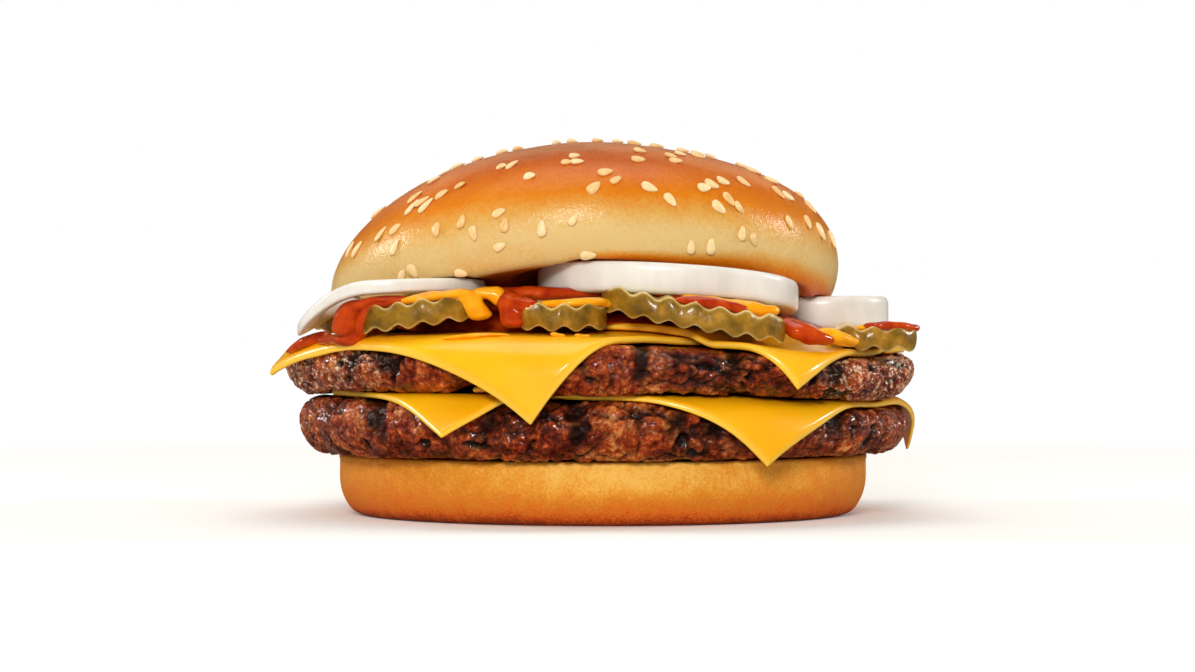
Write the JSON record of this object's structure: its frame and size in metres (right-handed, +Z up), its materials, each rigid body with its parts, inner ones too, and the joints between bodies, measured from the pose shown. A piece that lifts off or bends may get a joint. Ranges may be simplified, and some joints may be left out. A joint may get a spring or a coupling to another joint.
{
  "type": "double cheeseburger",
  "caption": "Stacked cheeseburger: sesame bun, grilled beef patties, draped cheese slices, crinkle pickles, onion rings, ketchup and mustard",
  "frame": {"origin": "on the table under the middle of the whole stack's width and depth", "axes": "+Z up, -Y towards the front that the picture shows, +X to the right as seen from the front"},
  "size_m": [0.1272, 0.1284, 0.0727],
  "materials": {
    "crust": "soft baked crust, golden brown, satin on top",
    "beef": "grilled minced beef, coarse and moist",
    "cheese": "melting processed cheese, smooth satin",
    "pickle": "wet pickled cucumber",
    "onion": "fresh raw onion, moist",
    "ketchup": "glossy sauce",
    "mustard": "glossy sauce"
  },
  "bodies": {
    "root": {"bun_heel": "crust", "bun_crown": "crust", "patty_lower": "beef", "patty_upper": "beef", "cheese_lower_left": "cheese", "cheese_lower_right": "cheese", "cheese_upper_left": "cheese", "cheese_upper_right": "cheese", "pickle_left": "pickle", "pickle_middle": "pickle", "pickle_right": "pickle", "pickle_far_right": "pickle", "pickle_far_left": "pickle", "pickle_back_left": "pickle", "pickle_back_right": "pickle", "onion_left": "onion", "onion_right": "onion", "onion_far_right": "onion", "onion_back": "onion", "ketchup_left": "ketchup", "ketchup_middle": "ketchup", "ketchup_right": "ketchup", "ketchup_back": "ketchup", "mustard_left": "mustard", "mustard_back": "mustard"}
  },
  "joints": []
}
